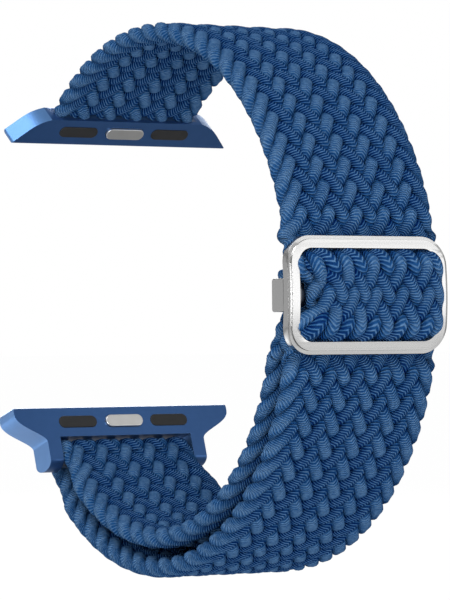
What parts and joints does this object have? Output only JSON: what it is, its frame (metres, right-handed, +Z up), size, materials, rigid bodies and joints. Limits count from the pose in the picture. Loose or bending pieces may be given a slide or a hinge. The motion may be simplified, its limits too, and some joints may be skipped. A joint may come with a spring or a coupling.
{
  "type": "braided watch strap",
  "caption": "Braided elastic watch strap with a sliding buckle and two watch case lugs with spring latches, closed as worn.",
  "frame": {"origin": "centre of the strap's loop, on the axis that the buckle slides about", "axes": "+X along the loop's axis, across the strap; -Y towards the buckle, +Y towards the watch case; +Z up, towards the upper lug"},
  "size_m": [0.0314, 0.0602, 0.0664],
  "materials": {
    "braid": "matte elastic braid",
    "lug_metal": "satin blue",
    "pad_rubber": "matte",
    "latch_metal": "satin",
    "buckle_metal": "polished rim, satin face",
    "spring_steel": "bright"
  },
  "bodies": {
    "strap": {"strap_outer_run": "braid", "strap_bar_fold": "braid", "strap_inner_run": "braid", "strap_fused_end": "braid", "upper_lug_body": "lug_metal", "upper_pad_left": "pad_rubber", "upper_pad_right": "pad_rubber", "upper_latch_spring": "spring_steel"},
    "upper_latch": {"upper_latch": "latch_metal"},
    "lower_lug": {"lower_lug_body": "lug_metal", "lower_pad_left": "pad_rubber", "lower_pad_right": "pad_rubber", "lower_latch_spring": "spring_steel", "bar_tube": "spring_steel", "bar_spring": "spring_steel"},
    "lower_latch": {"lower_latch": "latch_metal"},
    "bar_tip_left": {"bar_tip_left": "spring_steel"},
    "bar_tip_right": {"bar_tip_right": "spring_steel"},
    "buckle": {"buckle_frame": "buckle_metal", "buckle_crossbar": "buckle_metal", "strap_crossbar_fold": "braid"}
  },
  "joints": [
    {"name": "buckle_slide", "type": "hinge", "parent": "strap", "child": "buckle", "pos_m": [0, 0, 0], "axis": [1, 0, 0], "range_deg": [-20, 4], "deforming": ["strap_inner_run"]},
    {"name": "lower_lug_pivot", "type": "hinge", "parent": "strap", "child": "lower_lug", "pos_m": [0, 0.02249, -0.02061], "axis": [1, 0, 0], "range_deg": [-20, 20]},
    {"name": "upper_latch_press", "type": "slide", "parent": "strap", "child": "upper_latch", "axis": [0, 0.7986, 0.6018], "range_m": [0, 0.0005], "stiffness_N_per_m": 400, "springref_m": -0.0008, "deforming": ["upper_latch_spring"]},
    {"name": "lower_latch_press", "type": "slide", "parent": "lower_lug", "child": "lower_latch", "axis": [0, 0.9455, -0.3256], "range_m": [0, 0.0005], "stiffness_N_per_m": 400, "springref_m": -0.0008, "deforming": ["lower_latch_spring"]},
    {"name": "bar_tip_left_push", "type": "slide", "parent": "lower_lug", "child": "bar_tip_left", "axis": [1, 0, 0], "range_m": [0, 0.0012], "stiffness_N_per_m": 400, "springref_m": -0.001, "deforming": ["bar_spring"]},
    {"name": "bar_tip_right_push", "type": "slide", "parent": "lower_lug", "child": "bar_tip_right", "axis": [-1, 0, 0], "range_m": [0, 0.0012], "stiffness_N_per_m": 400, "springref_m": -0.001, "deforming": ["bar_spring"]}
  ]
}
